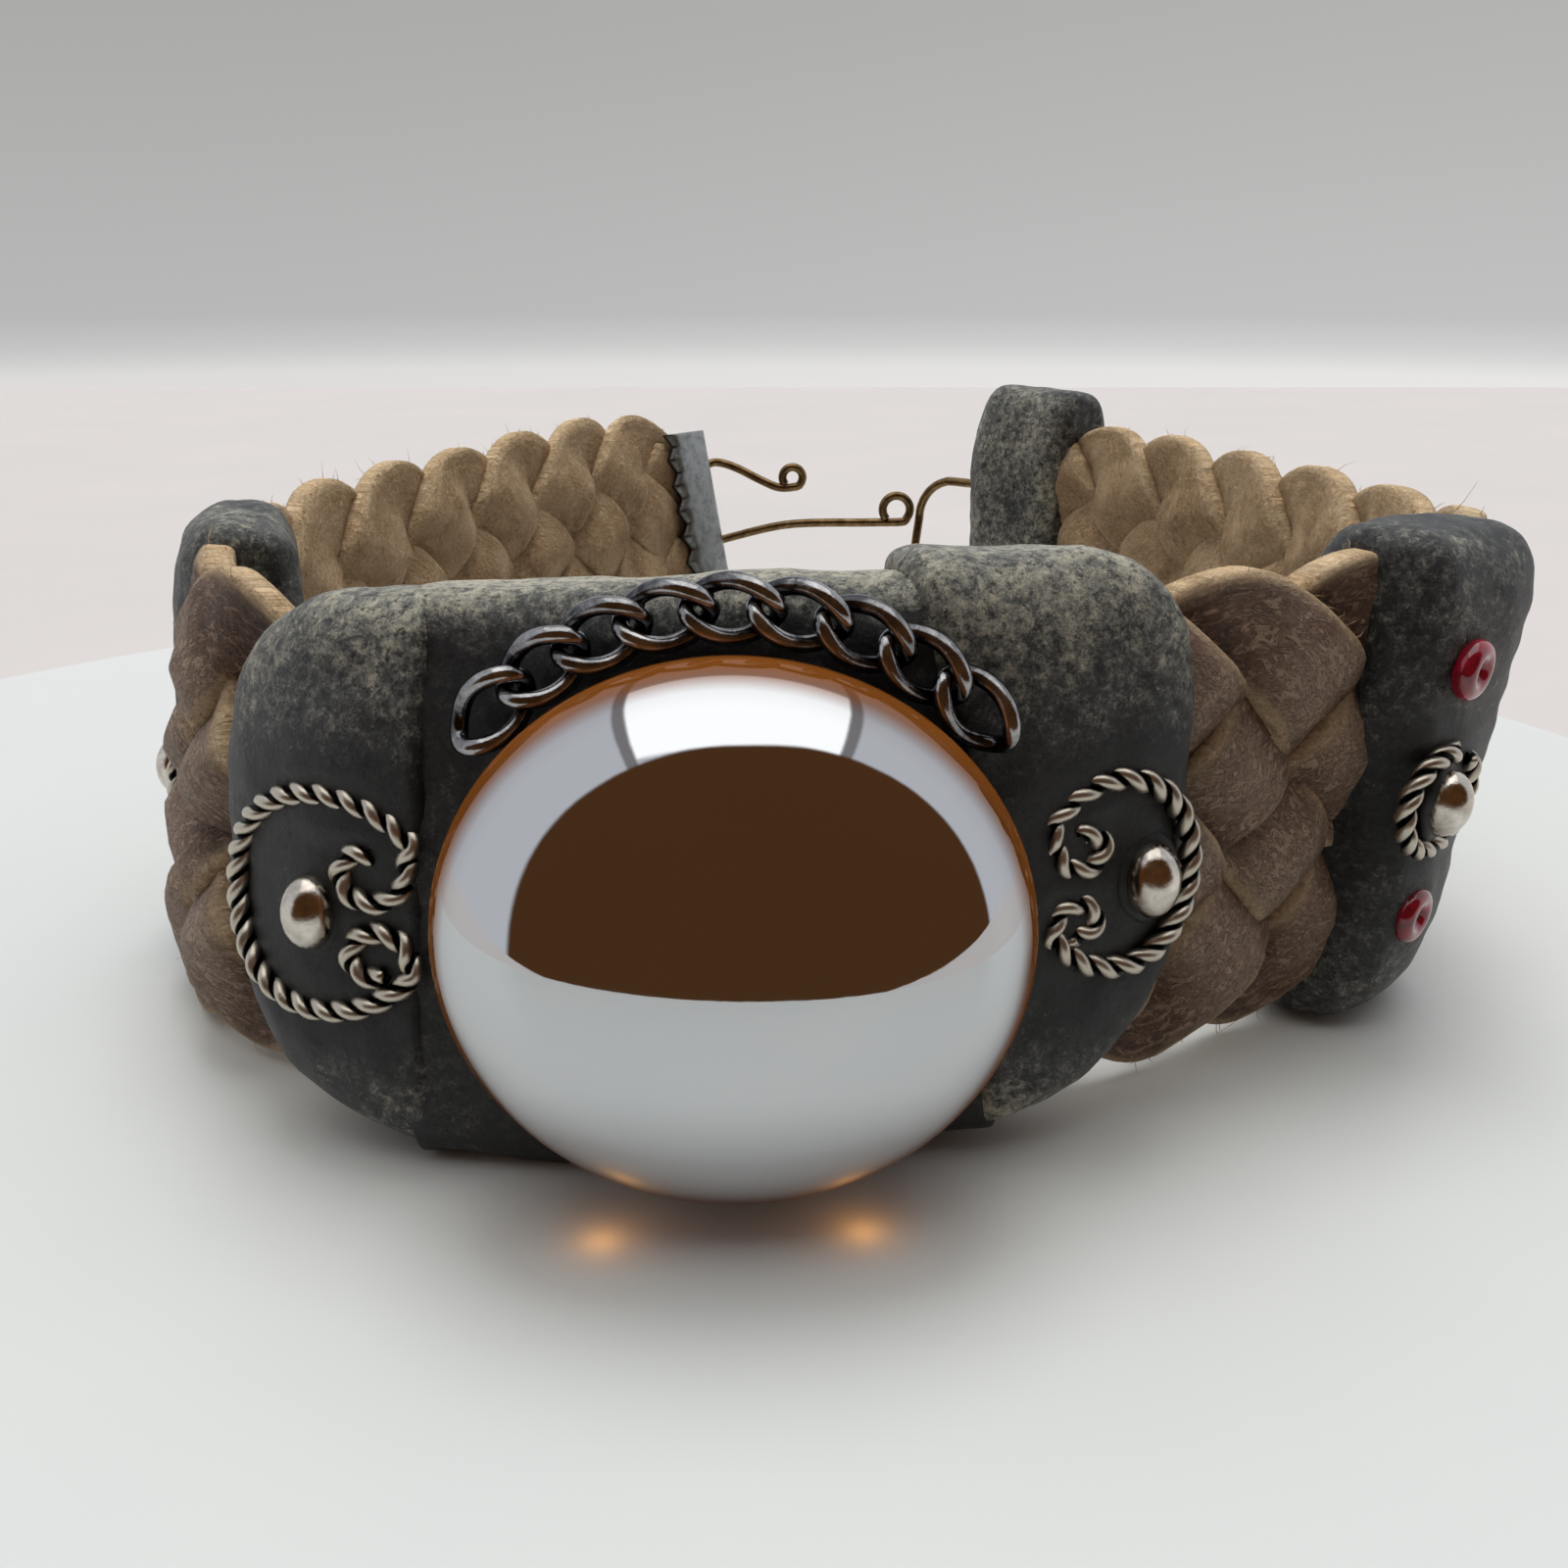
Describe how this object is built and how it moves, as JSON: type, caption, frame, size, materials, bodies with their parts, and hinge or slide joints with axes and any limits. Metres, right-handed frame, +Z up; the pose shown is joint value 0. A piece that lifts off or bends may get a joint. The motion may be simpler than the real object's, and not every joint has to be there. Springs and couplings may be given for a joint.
{
  "type": "wrist cuff",
  "caption": "Flexible wrist cuff with a domed glass cabochon, clay sleeves over a braided leather strap, and a wire hook-and-eye clasp.",
  "frame": {"origin": "centre of the plan on the table that the cuff stands on", "axes": "+Z up along the band's height, -Y out through the cabochon, +X to the right as seen from the front"},
  "size_m": [0.0758, 0.0871, 0.0282],
  "materials": {
    "leather": "matt, brown grain outside and tan suede inside",
    "clay": "satin mottled charcoal polymer clay",
    "dark_clay": "matt black clay",
    "cabochon_glass": "glossy amber glass with a pearl lustre coat",
    "chain_steel": "polished gunmetal",
    "rope_wire": "antique silver, dark in the grooves",
    "stud_silver": "polished silver",
    "bead_glass": "glossy opaque red glass",
    "crimp_steel": "satin grey metal",
    "clasp_bronze": "antique bronze"
  },
  "bodies": {
    "centre": {"centre_panel": "clay", "cabochon_bed": "dark_clay", "glass_cabochon": "cabochon_glass", "curb_chain": "chain_steel", "front_left_sleeve": "clay", "front_right_sleeve": "clay", "front_left_rope": "rope_wire", "front_right_rope": "rope_wire", "front_left_stud": "stud_silver", "front_right_stud": "stud_silver", "left_strap_front": "leather", "right_strap_front": "leather"},
    "left_side": {"left_strap_side": "leather", "rear_left_sleeve": "clay", "rear_left_rope": "rope_wire", "rear_left_stud": "stud_silver", "rear_left_upper_bead": "bead_glass", "rear_left_lower_bead": "bead_glass"},
    "right_side": {"right_strap_side": "leather", "rear_right_sleeve": "clay", "rear_right_rope": "rope_wire", "rear_right_stud": "stud_silver", "rear_right_upper_bead": "bead_glass", "rear_right_lower_bead": "bead_glass"},
    "left_end": {"left_strap_end": "leather", "ribbon_crimp": "crimp_steel"},
    "right_end": {"right_strap_end": "leather", "end_cap": "clay", "eye_wire": "clasp_bronze"},
    "upper_hook": {"upper_hook": "clasp_bronze"},
    "lower_hook": {"lower_hook": "clasp_bronze"}
  },
  "joints": [
    {"name": "right_front_flex", "type": "hinge", "parent": "centre", "child": "right_side", "pos_m": [0.01995, -0.02512, 0.01306], "axis": [0, 0, -1], "range_deg": [0, 30], "stiffness_Nm_per_rad": 0.015},
    {"name": "left_front_flex", "type": "hinge", "parent": "centre", "child": "left_side", "pos_m": [-0.02826, -0.02008, 0.0119], "axis": [0, 0, 1], "range_deg": [0, 30], "stiffness_Nm_per_rad": 0.015},
    {"name": "right_back_flex", "type": "hinge", "parent": "right_side", "child": "right_end", "pos_m": [0.0314, 0.0075, 0.01348], "axis": [0, 0, -1], "range_deg": [-0.5, 25], "stiffness_Nm_per_rad": 0.015},
    {"name": "left_back_flex", "type": "hinge", "parent": "left_side", "child": "left_end", "pos_m": [-0.02491, 0.01586, 0.01317], "axis": [0, 0, 1], "range_deg": [-1, 25], "stiffness_Nm_per_rad": 0.015},
    {"name": "upper_hook_swing", "type": "hinge", "parent": "left_end", "child": "upper_hook", "pos_m": [-0.00914, 0.04156, 0.02007], "axis": [0, 0, 1], "range_deg": [-15, 15]},
    {"name": "lower_hook_swing", "type": "hinge", "parent": "left_end", "child": "lower_hook", "pos_m": [-0.00801, 0.04059, 0.01364], "axis": [0, 0, 1], "range_deg": [-15, 4]}
  ]
}
